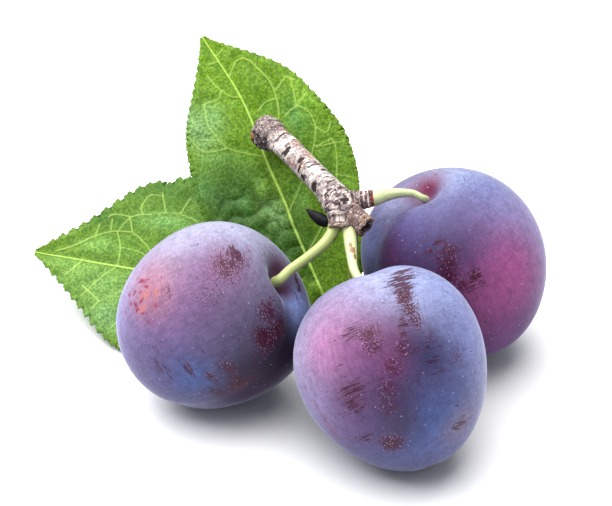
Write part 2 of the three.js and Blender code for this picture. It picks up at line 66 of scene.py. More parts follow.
# half sizes: towards the seam, across it, and along the axis; square: how much fuller the
# shoulders are; taper: how much broader the stalk end is; bow: how far both ends lean to the seam
# tints_and_painted_light: colour, degrees from the stalk and turn from the seam, reach, strength
# marks: degrees from the stalk, turn, size across and down, strength, lean in degrees if any
# The broad colours below are the skin's and bloom's own, with painted light in them: the pale lilac lobes on
# the tops are partly a painted highlight, and the dark lobes low down and where the fruits face each other
# are painted shade.
FRUITS = {
    "left": {
        "centre": (-17.6, -5.1), "stalk_end": (0.794, -0.056, 0.606), "seam": (0.29, -0.84, -0.458),
        "half_depth": 20.2, "half_width": 21.5, "half_tall": 21.5, "square": 0.029, "taper": 0.064,
        "bow": (1.2, -1.1), "hollow_depth": 5.2, "hollow_width": 5.4,
        "seam_depth": 1.0, "seam_lean": 0.0,
        "base": "#221a3c",
        "tints_and_painted_light": [
            ("#a9acc4", 44, -148, 16, 1.0), ("#9c97b6", 112, -118, 11, 0.95), ("#938fc0", 134, -92, 9, 0.9),
            ("#72527a", 66, -88, 12, 0.85), ("#8b6995", 98, -72, 9, 0.85), ("#a57385", 92, -101, 7, 0.9),
            ("#a56b7a", 96, -88, 5, 0.7), ("#38437a", 108, -36, 12, 0.8), ("#655a84", 122, -58, 8, 0.7),
            ("#0c0206", 44, 6, 8, 1.0), ("#1f0e1b", 66, 2, 9, 0.85), ("#33203a", 92, 6, 7, 0.7),
            ("#1a1022", 73, -18, 5, 0.55), ("#6f82b4", 17, 36, 5, 0.95), ("#4a1830", 10, 156, 4, 0.9),
            ("#4a1830", 7, 56, 3, 0.9), ("#7a4263", 44, -94, 5, 0.6), ("#4a639c", 98, -33, 4.5, 0.7),
            ("#2b1c34", 80, 4, 7, 0.8), ("#a5a4ba", 72, -126, 7, 0.6),
        ],
        "strokes": [
            (38, -106, 2.8, 2.6, 0.9), (43, -94, 4.0, 3.2, 0.7), (80, -10, 3.0, 2.8, 1.15),
            (97, -12, 3.4, 2.0, 0.75), (97, -40, 2.8, 1.2, 0.8), (112, -50, 3.4, 1.6, 0.7),
            (48, -26, 2.8, 2.2, 1.1), (19, -30, 1.6, 0.8, 0.8), (17, 84, 2.0, 1.2, 0.7),
            (90, -24, 4.0, 1.2, 0.6),
        ],
        "specks": [
            (46, -90, 4.2, 3.4, 0.8), (36, -96, 2.6, 3.0, 0.8), (62, -74, 5.0, 4.0, 0.4),
            (35, -36, 3.2, 2.8, 1.1), (38, -16, 3.6, 3.6, 1.2), (50, -22, 3.6, 3.2, 1.1),
            (78, -26, 3.6, 2.2, 0.8), (86, -8, 2.6, 3.2, 0.9), (89, -28, 2.0, 1.4, 0.8),
            (83, -88, 2.0, 1.2, 0.6),
        ],
        "nicks": [
            (28, -116, 1.1, 0.28, 1.0, 20), (26, -110, 0.7, 0.22, 0.8, -30), (100, -107, 0.6, 1.6, 1.0, 25),
            (107, -103, 0.5, 1.0, 1.0, -30), (97, -100, 0.4, 1.3, 1.0, 40), (94, -84, 0.6, 0.5, 1.0),
            (112, -98, 0.6, 0.5, 1.0), (119, -97, 0.6, 0.5, 0.8), (103, -78, 0.5, 0.6, 0.9),
            (108, -90, 0.6, 0.8, 1.0), (102, -58, 0.45, 0.6, 0.7), (103, -93, 0.4, 1.1, 1.0, -20),
            (105, -85, 0.4, 0.7, 0.9), (112, -106, 0.8, 0.6, 1.0), (101, -73, 0.4, 0.4, 0.8),
            (102, -99, 0.9, 0.5, 0.9, 30), (108, -94, 1.2, 0.5, 1.0, -20), (96, -104, 0.4, 1.4, 0.9, 15),
        ],
        "corks": [(99, -95, 1.4, 2.2, 0.9), (91, -92, 1.6, 1.3, 0.8), (104, -88, 1.1, 2.0, 0.9)],
    },
    "front": {
        "centre": (21.85, -26.27), "stalk_end": (-0.35, 0.625, 0.698), "seam": (0.217, -0.67, 0.71),
        "half_depth": 21.3, "half_width": 20.6, "half_tall": 22.8, "square": 0.003, "taper": 0.1,
        "bow": (-2.4, 1.3), "hollow_depth": 5.0, "hollow_width": 5.2,
        "seam_depth": 0.55, "seam_lean": 0.35,
        "base": "#26193f",
        "tints_and_painted_light": [
            ("#9b9fbe", 34, 2, 13, 1.0), ("#8b95bd", 60, 42, 12, 0.95), ("#868dc3", 98, 44, 10, 0.95),
            ("#aaa5c3", 68, -84, 9, 0.95), ("#aca8c6", 124, 58, 10, 0.95), ("#93829f", 48, -52, 8, 0.8),
            ("#b780a9", 73, -52, 8, 0.95), ("#7a466f", 80, -34, 8, 0.85), ("#683258", 82, -12, 6, 0.75),
            ("#3a5a98", 134, 4, 13, 1.0), ("#664a7a", 112, -62, 9, 0.75), ("#9081ac", 94, -84, 7, 0.7),
            ("#82768c", 138, 28, 6, 0.8), ("#241228", 92, 2, 5, 0.6), ("#352040", 110, -22, 6, 0.7),
            ("#5d5c86", 160, -40, 7, 0.5), ("#49456f", 106, 14, 7, 0.6), ("#3c2433", 126, -30, 5, 0.6),
            ("#2b2f56", 96, 5, 4, 0.7), ("#5c3152", 101, -49, 4, 0.6), ("#6a2f56", 94, -18, 4, 0.5),
        ],
        "strokes": [
            (36, 26, 2.6, 1.8, 1.1), (43, 16, 3.2, 2.2, 1.3), (49, 10, 3.0, 2.2, 1.3),
            (54, 7, 2.6, 2.0, 1.2), (60, 4, 1.8, 2.4, 1.0), (67, 2, 1.4, 2.4, 0.85),
            (74, -2, 1.3, 2.0, 0.85), (80, -5, 1.3, 2.2, 0.75), (68, -34, 3.2, 1.6, 0.8),
            (97, -47, 3.4, 2.2, 0.85), (105, -51, 3.4, 2.0, 0.85), (124, -60, 3.6, 1.6, 0.7),
            (138, 24, 2.6, 1.6, 0.9), (98, 6, 3.0, 1.2, 0.6), (90, 4, 3.4, 1.3, 0.55),
            (104, 10, 3.0, 1.2, 0.6),
        ],
        "specks": [
            (58, 7, 2.2, 2.4, 1.1), (66, 6, 2.0, 2.6, 1.1), (74, 5, 1.8, 2.4, 1.0),
            (73, -24, 2.6, 2.2, 1.0), (80, -24, 2.4, 2.0, 1.0), (86, -9, 2.0, 2.8, 0.8),
            (94, -18, 2.6, 2.8, 0.75), (104, -26, 2.8, 3.0, 0.75), (113, -30, 2.8, 2.6, 0.65),
            (134, -44, 2.8, 2.8, 1.3), (86, 10, 1.4, 1.4, 0.7), (100, 24, 3.0, 2.4, 0.5),
        ],
        "nicks": [
            (85, -84, 0.35, 1.1, 1.0, -25), (96, -80, 0.25, 2.0, 0.8), (106, -81, 0.35, 2.6, 0.95),
            (114, -84, 0.32, 2.4, 0.9, 8), (110, -78, 0.2, 2.0, 0.7, -8), (86, -28, 0.4, 0.4, 0.6),
            (162, -4, 0.6, 0.6, 0.7), (92, -72, 0.5, 0.4, 0.5), (40, -70, 1.2, 0.25, 0.6),
        ],
        "corks": [(134, -44, 0.8, 0.8, 0.45)],
    },
    "right": {
        "centre": (37.6, 15.7), "stalk_end": (-0.39, 0.07, 0.918), "seam": (-0.814, -0.465, -0.347),
        "half_depth": 20.5, "half_width": 23.3, "half_tall": 22.7, "square": 0.0, "taper": 0.067,
        "bow": (0.8, 1.2), "hollow_depth": 5.6, "hollow_width": 5.6,
        "seam_depth": 1.1, "seam_lean": 0.0,
        "base": "#2f1640",
        "tints_and_painted_light": [
            ("#9dacc8", 20, 165, 12, 1.0), ("#616f9c", 44, 140, 11, 0.9), ("#464270", 36, 98, 9, 0.8),
            ("#8682ae", 74, 142, 10, 0.95), ("#8e76a6", 112, 138, 9, 0.85), ("#a5568f", 84, 101, 9, 0.95),
            ("#97477c", 97, 84, 10, 0.75), ("#6b3b76", 132, 84, 11, 0.85), ("#4a1330", 47, 18, 6, 0.95),
            ("#7f86c0", 50, -12, 6, 0.9), ("#767a9c", 18, -30, 6, 0.9), ("#640a30", 8, -138, 4.5, 1.0),
            ("#46407a", 32, 40, 7, 0.6), ("#382a52", 52, 76, 6, 0.6), ("#532a69", 138, 108, 6, 0.6),
        ],
        "strokes": [
            (72, 79, 1.6, 1.2, 1.0), (77, 73, 1.4, 1.4, 0.95), (60, 60, 2.2, 3.0, 0.75),
            (46, 64, 1.9, 0.55, 1.25),
        ],
        "specks": [
            (54, 70, 2.6, 2.4, 1.0), (60, 66, 2.6, 3.0, 1.1), (67, 63, 2.6, 3.0, 1.1),
            (74, 68, 1.6, 2.0, 0.9), (72, 78, 1.5, 1.3, 1.0), (50, 56, 1.2, 1.2, 0.8),
            (79, 80, 1.2, 1.2, 0.8), (104, 72, 2.0, 2.0, 0.5),
        ],
        "nicks": [(34, -6, 1.2, 0.3, 0.7, 20), (76, 73, 0.5, 0.5, 0.7)],
        "corks": [(72, 78, 0.8, 0.7, 0.5), (66, 124, 0.9, 2.0, 0.35)],
    },
}


def linear(code):
    """An sRGB hex colour as the linear red, green, blue and alpha that nodes take."""
    parts = [int(code[i:i + 2], 16) / 255 for i in (1, 3, 5)]
    return tuple(c / 12.92 if c <= 0.04045 else ((c + 0.055) / 1.055) ** 2.4 for c in parts) + (1.0,)


def smooth(t):
    """An even step that goes from 0 to 1 as t does."""
    t = np.clip(t, 0.0, 1.0)
    return t * t * (3 - 2 * t)


def skin(fruit, polar, turn):
    """Points of a fruit's skin in its own frame: z to the stalk, x to the seam."""
    s, c = np.sin(polar), np.cos(polar)
    full = 1 + fruit["square"] * (1 - np.cos(4 * polar)) * 0.5
    broad = full * (1 + fruit["taper"] * c)
    x = fruit["half_depth"] * s * np.cos(turn) * broad + fruit["bow"][0] * c * c
    y = fruit["half_width"] * s * np.sin(turn) * broad + fruit["bow"][1] * c * c
    z = fruit["half_tall"] * c * full
    shoulder = np.exp(-(((polar - SHOULDER_POLAR) / SHOULDER_REACH) ** 2))
    line = fruit["seam_lean"] * z * (1 - c ** 6)
    width = SEAM_WIDTH + SHOULDER_WIDTH * shoulder
    furrow = smooth((x - SEAM_START) / SEAM_FADE) * fruit["seam_depth"]
    furrow = furrow * (EVEN_DEPTH + SHOULDER_DEPTH * shoulder) * np.exp(-(((y - line) / width) ** 2))
    x, z = x - furrow * s, z - furrow * c
    out = np.hypot(x - fruit["bow"][0], y - fruit["bow"][1]) / fruit["hollow_width"]
    z = z - np.where(c > 0, fruit["hollow_depth"] / (1 + out * out) ** HOLLOW_FALL, 0)
    z = z + np.where(c < 0, TIP_PIT / (1 + (out * TIP_PIT_NARROWING) ** 2) ** 2, 0)
    return np.stack([x, y, z], axis=-1)


def fruit_turn(fruit):
    """The rotation from a fruit's own frame to the layout."""
    axis = Vector(fruit["stalk_end"]).normalized()
    seam = Vector(fruit["seam"])
    seam = (seam - axis * seam.dot(axis)).normalized()
    return Matrix((seam, axis.cross(seam), axis)).transposed()


def to_layout(fruit, own):
    """Points from a fruit's own frame to the layout, with its underside on the table."""
    polar, turn = np.meshgrid(np.radians(np.arange(181)), np.radians(np.arange(0, 360, 2)))
    rotation = np.array(fruit_turn(fruit))
    lowest = (skin(fruit, polar, turn) @ rotation.T)[..., 2].min()
    placed = own @ rotation.T + np.array([*fruit["centre"], -lowest - FLAT_SINK])
    placed[..., 2] = np.maximum(placed[..., 2], 0)
    return placed


def put(bm, points):
    """Moves the vertices of a mesh to these points of the layout, in the frame's metres."""
    for vertex, place in zip(bm.verts, (points - np.array(LAYOUT_ORIGIN)) * MM):
        vertex.co = place


def patch(fruit, own, polar, turn, across, down, lean=0.0):
    """How near each skin point is to a spot on the skin, 1 there and fading out over its size."""
    polar, turn, lean = math.radians(polar), math.radians(turn), math.radians(lean)
    middle = skin(fruit, polar, turn)
    side = np.array([-math.sin(turn), math.cos(turn), 0.0])
    ahead = skin(fruit, polar + SMALL_TURN, turn) - middle
    ahead = ahead / np.linalg.norm(ahead)
    leant = side * math.cos(lean) + ahead * math.sin(lean)
    upright = ahead * math.cos(lean) - side * math.sin(lean)
    offset = own - middle
    flat = (offset @ leant / across) ** 2 + (offset @ upright / down) ** 2
    depth = np.linalg.norm(offset, axis=-1) / (MARK_DEPTH * max(across, down))
    return np.exp(-flat - depth ** 4)


def tinted(colour, code, share):
    """A colour for each spot, mixed with another by share."""
    return colour * (1 - share[:, None]) + np.array(linear(code)) * share[:, None]


def paint(fruit, own):
    """The colour of the bloomed skin at each point, with its broad patches of colour, painted highlight and
    painted shade among them.
    """
    colour = np.tile(linear(fruit["base"]), (len(own), 1))
    for code, polar, turn, reach, strength in fruit["tints_and_painted_light"]:
        colour = tinted(colour, code, strength * patch(fruit, own, polar, turn, reach, reach))
    return colour


def add_attribute(piece, name, values):
    """One number, place or colour for each vertex, which a material reads by name."""
    kinds = {1: ("FLOAT", "value"), 3: ("FLOAT_VECTOR", "vector"), 4: ("FLOAT_COLOR", "color")}
    kind, field = kinds[values.size // len(values)]
    attribute = piece.data.attributes.new(name, kind, "POINT")
    attribute.data.foreach_set(field, np.ravel(values).astype(np.float32))


def add_object(name, data):
    """An object in the scene that shows this mesh, light or camera."""
    made = bpy.data.objects.new(name, data)
    bpy.context.scene.collection.objects.link(made)
    return made


def add_piece(name, bm, material, slot, *nodes):
    """A mesh as an object that rides on the sprig's one body and stands for these CAD nodes."""
    for face in bm.faces:
        face.smooth = True
    mesh = bpy.data.meshes.new(name)
    bm.to_mesh(mesh)
    bm.free()
    mesh.materials.append(material)
    piece = add_object(name, mesh)
    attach(piece, "root")
    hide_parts(*nodes)
    return piece


def set_inputs(tree, node, *values, **named):
    """Fills a node's inputs in their order or by name, each with a value, a socket, or a node, which
    stands for its first output in use."""
    used = [socket for socket in node.inputs if socket.enabled]
    by_name = {socket.name.replace(" ", "_"): socket for socket in used}
    filled = [*zip(used, values), *[(by_name[name], value) for name, value in named.items()]]
    for socket, value in filled:
        if isinstance(value, bpy.types.Node):
            value = next(output for output in value.outputs if output.enabled)
        if isinstance(value, bpy.types.NodeSocket):
            tree.links.new(value, socket)
        else:
            socket.default_value = value


def add_node(tree, kind, settings=None, *values, **named):
    """A shader node with its settings, and its inputs filled as above."""
    node = tree.nodes.new("ShaderNode" + kind)
    for name, value in (settings or {}).items():
        setattr(node, name, value)
    set_inputs(tree, node, *values, **named)
    return node


def new_material(name):
    """An empty node material and its surface shader."""
    material = bpy.data.materials.new(name)
    material.use_nodes = True
    return material, material.node_tree, material.node_tree.nodes["Principled BSDF"]


COLOURS = {"data_type": "RGBA"}  # a share, and the colours that it mixes
EVEN_STEP = {"interpolation_type": "SMOOTHSTEP"}  # a value, low and high, and what those become
TIMES = {"operation": "MULTIPLY"}
TIMES_PLUS = {"operation": "MULTIPLY_ADD"}  # the first value times the second, plus the third


def layered(tree, colour, layers):
    """Lays colours one over the other. Each covers those below by a share that steps evenly from
    start to end while its value goes from low to high."""
    for value, low, high, start, end, above in layers:
        share = add_node(tree, "MapRange", EVEN_STEP, value, low, high, start, end)
        colour = add_node(tree, "Mix", COLOURS, share, colour, above)
    return colour


# Plum skin under wax bloom: the bloom scatters light, which veils the skin in lilac blue and makes
# it satin. Where it is rubbed off, the dark red-purple skin shows and shines a little more.
bloomed_skin, tree, surface = new_material("bloomed plum skin")
# Places are in millimetres, so a scale is 1 over the size of the lumps or cells.
own_place = add_node(tree, "Attribute", {"attribute_name": "own_place"}).outputs["Vector"]
# the skin's broad colours, with painted highlight on the tops and painted shade below and between the fruits
tint_and_painted_light = add_node(tree, "Attribute", {"attribute_name": "tint_and_painted_light"})
strokes, specks, nicks, corks = [
    add_node(tree, "Attribute", {"attribute_name": kind}).outputs["Fac"] for kind in MARK_KINDS
]
cloud = add_node(tree, "TexNoise", Vector=own_place, Scale=1 / 2.2, Detail=5.0, Roughness=0.7)
grain = add_node(tree, "TexNoise", Vector=own_place, Scale=1 / 0.4, Detail=3.0, Roughness=0.7)
long_round = add_node(tree, "Mapping", Vector=own_place, Scale=(0.3, 0.3, 3.2))
round_strokes = add_node(tree, "TexNoise", Vector=long_round, Scale=1.0, Detail=3.0, Roughness=0.7)
long_down = add_node(tree, "Mapping", Vector=own_place, Scale=(1.8, 1.8, 0.25))
down_strokes = add_node(tree, "TexNoise", Vector=long_down, Scale=1.0, Detail=2.0, Roughness=0.6)
half_down = add_node(tree, "Math", TIMES, down_strokes, 0.5)
thin = add_node(tree, "Math", TIMES_PLUS, round_strokes, 0.5, half_down)
ragged = add_node(tree, "Math", TIMES_PLUS, round_strokes, 4.0, -2.1)
crumbled = add_node(tree, "Math", TIMES_PLUS, grain, 4.0, -2.1)
stroked = add_node(tree, "Math", {"operation": "ADD"}, strokes, ragged)
speckled = add_node(tree, "Math", {"operation": "ADD"}, specks, crumbled)
corky = add_node(tree, "Math", TIMES_PLUS, crumbled, 0.7, corks)
jagged = add_node(tree, "Math", TIMES_PLUS, crumbled, 0.6, nicks)
redder = add_node(tree, "MapRange", EVEN_STEP, grain, 0.35, 0.65)
bare_skin = add_node(tree, "Mix", COLOURS, redder, linear("#150410"), linear("#4c1832"))

# thin streaks and clouds in the bloom, rubbed strokes and specks, corky scars and crimson nicks
nicked = layered(tree, tint_and_painted_light, [
    (thin, 0.42, 0.58, 0.22, 0.0, linear("#1d1233")),
    (cloud, 0.34, 0.6, 0.24, 0.0, linear("#2a1533")),
    (stroked, 0.4, 0.7, 0.0, 0.92, bare_skin),
    (speckled, 0.4, 0.7, 0.0, 0.92, bare_skin),
    (corky, 0.3, 0.8, 0.0, 0.75, linear("#a8685c")),
    (jagged, 0.42, 0.55, 0.0, 0.9, linear("#7c1a34")),
])

# pale flecks where the bloom is rubbed, and the fine pale points all over a plum
flecks = add_node(tree, "TexVoronoi", Vector=own_place, Scale=1.8)
fleck = add_node(tree, "MapRange", EVEN_STEP, flecks, 0.1, 0.24, 1.0, 0.0)
rubbed = add_node(tree, "MapRange", EVEN_STEP, specks, 0.15, 0.6, 0.0, 0.5)
fleck = add_node(tree, "Math", TIMES, fleck, rubbed)
points = add_node(tree, "TexVoronoi", Vector=own_place, Scale=0.65)
point = add_node(tree, "MapRange", EVEN_STEP, points, 0.04, 0.11, 0.6, 0.0)
chance = add_node(tree, "SeparateColor", Color=points.outputs["Color"])
some = add_node(tree, "MapRange", EVEN_STEP, chance, 0.5, 0.7)
point = add_node(tree, "Math", TIMES, point, some)
flecked = add_node(tree, "Mix", COLOURS, fleck, nicked, linear("#cdb6d6"))
dotted = add_node(tree, "Mix", COLOURS, point, flecked, linear("#dccfe6"))

bare = add_node(tree, "Math", {"operation": "MAXIMUM"}, stroked, speckled)
gloss = add_node(tree, "MapRange", EVEN_STEP, bare, 0.4, 0.7, 0.55, 0.42)
veil = add_node(tree, "MapRange", EVEN_STEP, bare, 0.4, 0.7, 0.55, 0.2)
relief = add_node(tree, "Bump", Height=grain, Strength=0.25, Distance=0.03 * MM)
set_inputs(tree, surface, Base_Color=dotted, Roughness=gloss, Specular_IOR_Level=0.15, Sheen_Weight=veil,
           Sheen_Roughness=0.22, Sheen_Tint=linear("#d5d6f5"), Normal=relief)


def unit_ball(segments, rings):
    """A ball of radius 1, rolled up from a grid and closed at its seam and poles."""
    bm = bmesh.new()
    bmesh.ops.create_grid(bm, x_segments=segments, y_segments=rings, size=0.5)
    for vertex in bm.verts:
        polar, turn = math.pi * (0.5 - vertex.co.y), 2 * math.pi * vertex.co.x
        ring = math.sin(polar)
        vertex.co = (ring * math.cos(turn), ring * math.sin(turn), math.cos(polar))
    bmesh.ops.remove_doubles(bm, verts=bm.verts, dist=BALL_MERGE)
    bmesh.ops.recalc_face_normals(bm, faces=bm.faces)
    return bm


for side, fruit in FRUITS.items():
    bm = unit_ball(FRUIT_SEGMENTS, FRUIT_RINGS)
    ball = np.array([v.co for v in bm.verts])
    own = skin(fruit, np.arccos(np.clip(ball[:, 2], -1, 1)), np.arctan2(ball[:, 1], ball[:, 0]))
    put(bm, to_layout(fruit, own))
    piece = add_piece(f"fruit_{side}", bm, bloomed_skin, "plum_skin", f"plum_{side}")
    add_attribute(piece, "own_place", own)
    add_attribute(piece, "tint_and_painted_light", paint(fruit, own))
    for kind in MARK_KINDS:
        near = np.zeros(len(own))
        for polar, turn, across, down, strength, *lean in fruit[kind]:
            near = np.maximum(near, strength * patch(fruit, own, polar, turn, across, down, *lean))
        add_attribute(piece, kind, near)

# ---- stalks ------------------------------------------------------------------------------------
# Each fruit hangs on a smooth green stalk, round and a little thicker towards the spur. It stands
# in the hollow of its fruit, and flares where it joins the wood.
BRANCH_STEPS = 90
CURVE_STEPS = 24
CORNER_SHIFTS = (-0.03, -0.015, 0, 0.015, 0.03)
ROD_MERGE = 1e-7  # metres
STALK_SIDES = 32
HOLLOW_FLOOR_CLEARANCE = 1.3
# path: from the fruit to the wood, after its foot in the hollow; radius: by share of the length
# scars: millimetres from the fruit, turn in degrees, half length along and across
# base: the stalk's colour; the pale cream of the front and right stalks is partly painted light
STALKS = {
    "left": {
        "path": [(-2.4, -8.0, 33.0), (-0.4, -5.9, 33.9), (3.6, -1.5, 34.5), (6.9, 2.7, 35.0),
                 (8.9, 5.4, 36.3), (9.6, 6.8, 37.9)],
        "radius": [(0, 1.3), (0.12, 1.15), (0.55, 1.15), (0.8, 1.3), (1, 1.5)],
        "base": "#a5ae72",
        "scars": [(17.6, 117, 0.7, 0.6), (17.0, 96, 0.4, 0.4)],
    },
    "front": {
        "path": [(14.3, -9.7, 34.75), (13.5, -6.8, 35.3), (13.2, -2.5, 35.8), (13.0, 1.6, 36.4),
                 (12.8, 4.8, 37.2), (12.4, 6.8, 38.6)],
        "radius": [(0, 1.15), (0.15, 1.0), (0.35, 1.05), (0.65, 1.4), (1, 1.65)],
        "base": "#c9ce9d",
        "scars": [(9.2, -5, 0.9, 0.4), (7.6, 10, 1.1, 0.6), (5.6, 32, 1.0, 0.45)],
    },
    "right": {
        "path": [(29.4, 14.3, 40.2), (27.2, 14.5, 41.2), (23.8, 13.5, 41.9), (20.6, 12.3, 42.1),
                 (18.4, 11.2, 42.0), (16.0, 11.0, 41.8)],
        "radius": [(0, 1.0), (0.15, 0.78), (0.4, 0.98), (0.6, 1.35), (0.75, 1.7), (1, 1.9)],
        "base": "#cdd4a6",
        "scars": [(14.0, -20, 0.3, 0.5)],
    },
}


def curve_through(points, steps):
    """Evenly spaced points of a smooth curve through the given ones, its directions and length."""
    knots = np.array(points, dtype=float)
    knots = np.vstack([2 * knots[0] - knots[1], knots, 2 * knots[-1] - knots[-2]])
    t = np.linspace(0, 1, CURVE_STEPS, endpoint=False)[:, None]
    pieces = []
    for a, b, c, d in zip(knots, knots[1:], knots[2:], knots[3:]):
        pieces.append(b + (c - a) / 2 * t + (a - 2.5 * b + 2 * c - d / 2) * t ** 2
                      + (1.5 * b - a / 2 - 1.5 * c + d / 2) * t ** 3)
    dense = np.vstack([*pieces, knots[-2]])
    run = np.concatenate([[0], np.cumsum(np.linalg.norm(np.diff(dense, axis=0), axis=1))])
    even = np.linspace(0, run[-1], steps + 1)
    line = np.stack([np.interp(even, run, dense[:, k]) for k in range(dense.shape[1])], axis=1)
    ahead = np.gradient(line, axis=0)
    return line, ahead / np.linalg.norm(ahead, axis=1)[:, None], run[-1]


def table(rows, share):
    """Values between the rows of a (share, value) table, with rounded corners."""
    shares, values = np.transpose(rows)
    soft = [np.interp(share + shift, shares, values) for shift in CORNER_SHIFTS]
    return sum(soft) / len(soft)


def cross_axes(ahead, upward):
    """Two directions across a curve: up as near as can be to upward, and the side."""
    up = np.array(upward) - ahead * (ahead @ np.array(upward))[:, None]
    up = up / np.linalg.norm(up, axis=1)[:, None]
    return up, np.cross(ahead, up)


def rod(points, steps, sides, radius_at, upward=(0, 0, 1)):
    """A round rod along a curve as a closed mesh. radius_at(share, angle) is its radius, and its
    UV map runs round and along it."""
    line, ahead, _ = curve_through(points, steps)
    up, side = cross_axes(ahead, upward)
    bm = bmesh.new()
    bm.loops.layers.uv.new("round_and_along")
    bmesh.ops.create_grid(bm, x_segments=sides, y_segments=steps, size=0.5, calc_uvs=True)
    unit = np.array([v.co for v in bm.verts]) + 0.5
    angle = 2 * math.pi * unit[:, 0]
    ring = np.round(unit[:, 1] * steps).astype(int)
    r = radius_at(unit[:, 1], angle)
    put(bm, line[ring] + up[ring] * (r * np.cos(angle))[:, None] + side[ring] * (r * np.sin(angle))[:, None])
    bmesh.ops.remove_doubles(bm, verts=bm.verts, dist=ROD_MERGE)
    bmesh.ops.holes_fill(bm, edges=[edge for edge in bm.edges if edge.is_boundary], sides=sides)
    bmesh.ops.recalc_face_normals(bm, faces=bm.faces)
    return bm


def along_branch(branch, spots):
    """Where spots lie by a branch: share and millimetres along, distance out as a share of its
    radius, the radius, turn round it, and the way ahead."""
    line, ahead, length = curve_through(branch["path"], BRANCH_STEPS)
    up, side = cross_axes(ahead, (0, 0, 1))
    row = np.argmin((line ** 2).sum(axis=1) - 2 * spots @ line.T, axis=1)
    offset = spots - line[row]
    share = row / BRANCH_STEPS
    radius = table(branch["radius"], share)
    out = np.linalg.norm(offset, axis=1) / radius
    turn = np.arctan2((offset * side[row]).sum(axis=1), (offset * up[row]).sum(axis=1))
    return share, share * length, out, radius, turn, ahead[row]


def marked(marks, along, turn, radius):
    """How strongly each spot of a branch or stalk lies in one of these marks, from 0 to 1."""
    near = np.zeros(len(along))
    for middle, degrees, half_along, half_across in marks:
        away = (turn - math.radians(degrees) + math.pi) % (2 * math.pi) - math.pi
        flat = ((along - middle) / half_along) ** 2 + (away * radius / half_across) ** 2
        near = np.maximum(near, np.exp(-flat))
    return near


# Fresh green stalk, of fruits and leaves alike: waxy and smooth, with faint lengthwise fibres and
# a few corky specks.
green_stalk, tree, surface = new_material("fresh green stalk")
tone = add_node(tree, "Attribute", {"attribute_name": "tone"})
scar = add_node(tree, "Attribute", {"attribute_name": "scar"}).outputs["Fac"]
along = add_node(tree, "UVMap", {"uv_map": "round_and_along"})
fibres = add_node(tree, "Mapping", Vector=along, Scale=(26.0, 3.0, 1.0))  # as many round and along
fibre = add_node(tree, "TexNoise", Vector=fibres, Scale=1.0, Detail=3.0)
green = add_node(tree, "MapRange", Value=fibre, From_Min=0.35, From_Max=0.65)
shaded = add_node(tree, "Mix", COLOURS, 0.5, tone, linear("#7d8c34"))
stalk_colour = add_node(tree, "Mix", COLOURS, green, shaded, tone)
torn_edge = add_node(tree, "Math", TIMES_PLUS, fibre, 1.2, scar)
scarred = layered(tree, stalk_colour, [(torn_edge, 0.9, 1.1, 0.0, 0.9, linear("#7c4a26"))])
set_inputs(tree, surface, Base_Color=scarred, Roughness=0.42)

for side, stalk in STALKS.items():
    foot = skin(FRUITS[side], 0.0, 0.0) + np.array([0, 0, HOLLOW_FLOOR_CLEARANCE])
    path = [to_layout(FRUITS[side], foot), *stalk["path"]]
    bm = rod(path, BRANCH_STEPS, STALK_SIDES, lambda share, angle: table(stalk["radius"], share))
    spots = np.array([v.co for v in bm.verts]) / MM + np.array(LAYOUT_ORIGIN)
    _, along, _, radius, turn, _ = along_branch(stalk, spots)
    piece = add_piece(f"green_stalk_{side}", bm, green_stalk, "green_stalk", f"stalk_{side}")
    add_attribute(piece, "tone", np.tile(linear(stalk["base"]), (len(spots), 1)))
    add_attribute(piece, "scar", marked(stalk["scars"], along, turn, radius))

# ---- twig --------------------------------------------------------------------------------------
# The woody spur: a cut stem with a swollen ring at its end, the wrinkled knuckle that everything
# grows from, two short ringed spurs, and the torn stub of an old one. Its grey-white bark peels.
BRANCHES = {
    "stem": {
        "path": [(11.0, 7.4, 39.2), (10.7, 9.7, 40.9), (8.5, 14.0, 42.1), (5.3, 19.6, 42.6),
                 (2.3, 24.6, 43.0), (-1.3, 30.1, 44.2), (-5.4, 35.3, 44.7), (-6.9, 37.2, 44.9)],
        "radius": [(0, 2.7), (0.07, 3.7), (0.2, 3.3), (0.3, 2.95), (0.8, 2.85), (0.87, 3.2),
                   (0.92, 4.0), (0.97, 4.05), (1, 3.6)],
    },
    "lower_spur": {
        "path": [(10.8, 9.0, 40.2), (10.9, 7.4, 38.6), (11.0, 6.0, 37.2)],
        "radius": [(0, 2.4), (0.6, 2.7), (1, 3.0)],
    },
    "right_spur": {
        "path": [(12.3, 10.6, 41.2), (15.2, 10.9, 41.7), (18.2, 11.1, 42.0)],
        "radius": [(0, 2.8), (0.5, 2.1), (0.9, 2.0), (1, 1.8)],
    },
    "stub": {
        "path": [(12.4, 8.6, 40.2), (14.6, 6.6, 39.2), (16.7, 4.8, 38.3)],
        "radius": [(0, 2.9), (0.5, 2.5), (1, 2.5)],
    },
}
TWIG_VOXEL = 0.14
TWIG_SIDES = 48
TWIG_WOBBLE = 0.03  # share of the radius
# Marks on the stem, all round it: millimetres from its foot in the knuckle, turn in degrees, half
# length along and across.
LENTICELS = [
    (24.1, -54, 0.85, 1.8), (18.9, -27, 0.85, 1.4), (12.8, 24, 0.7, 1.2), (15.5, -93, 1.0, 1.2),
    (17.3, -69, 0.4, 1.3), (10.4, -84, 1.3, 1.7), (5.6, -45, 0.7, 1.7), (29.0, -132, 0.9, 1.2),
    (26.5, 105, 0.6, 1.1), (20.5, 150, 0.6, 1.0), (14.5, 95, 0.7, 1.0), (9.0, 165, 0.7, 1.1),
    (22.0, -160, 0.6, 1.2), (28.4, -10, 0.2, 2.6), (15.1, -5, 0.22, 2.2), (7.6, -5, 0.35, 1.4),
]
PEELED = [(24.1, 20, 2.0, 1.3), (19.4, 22, 2.2, 1.3), (20.7, -75, 1.4, 1.2), (17.6, -48, 1.0, 1.2),
          (29.5, 30, 1.5, 1.2), (12, 150, 3.0, 2.0)]
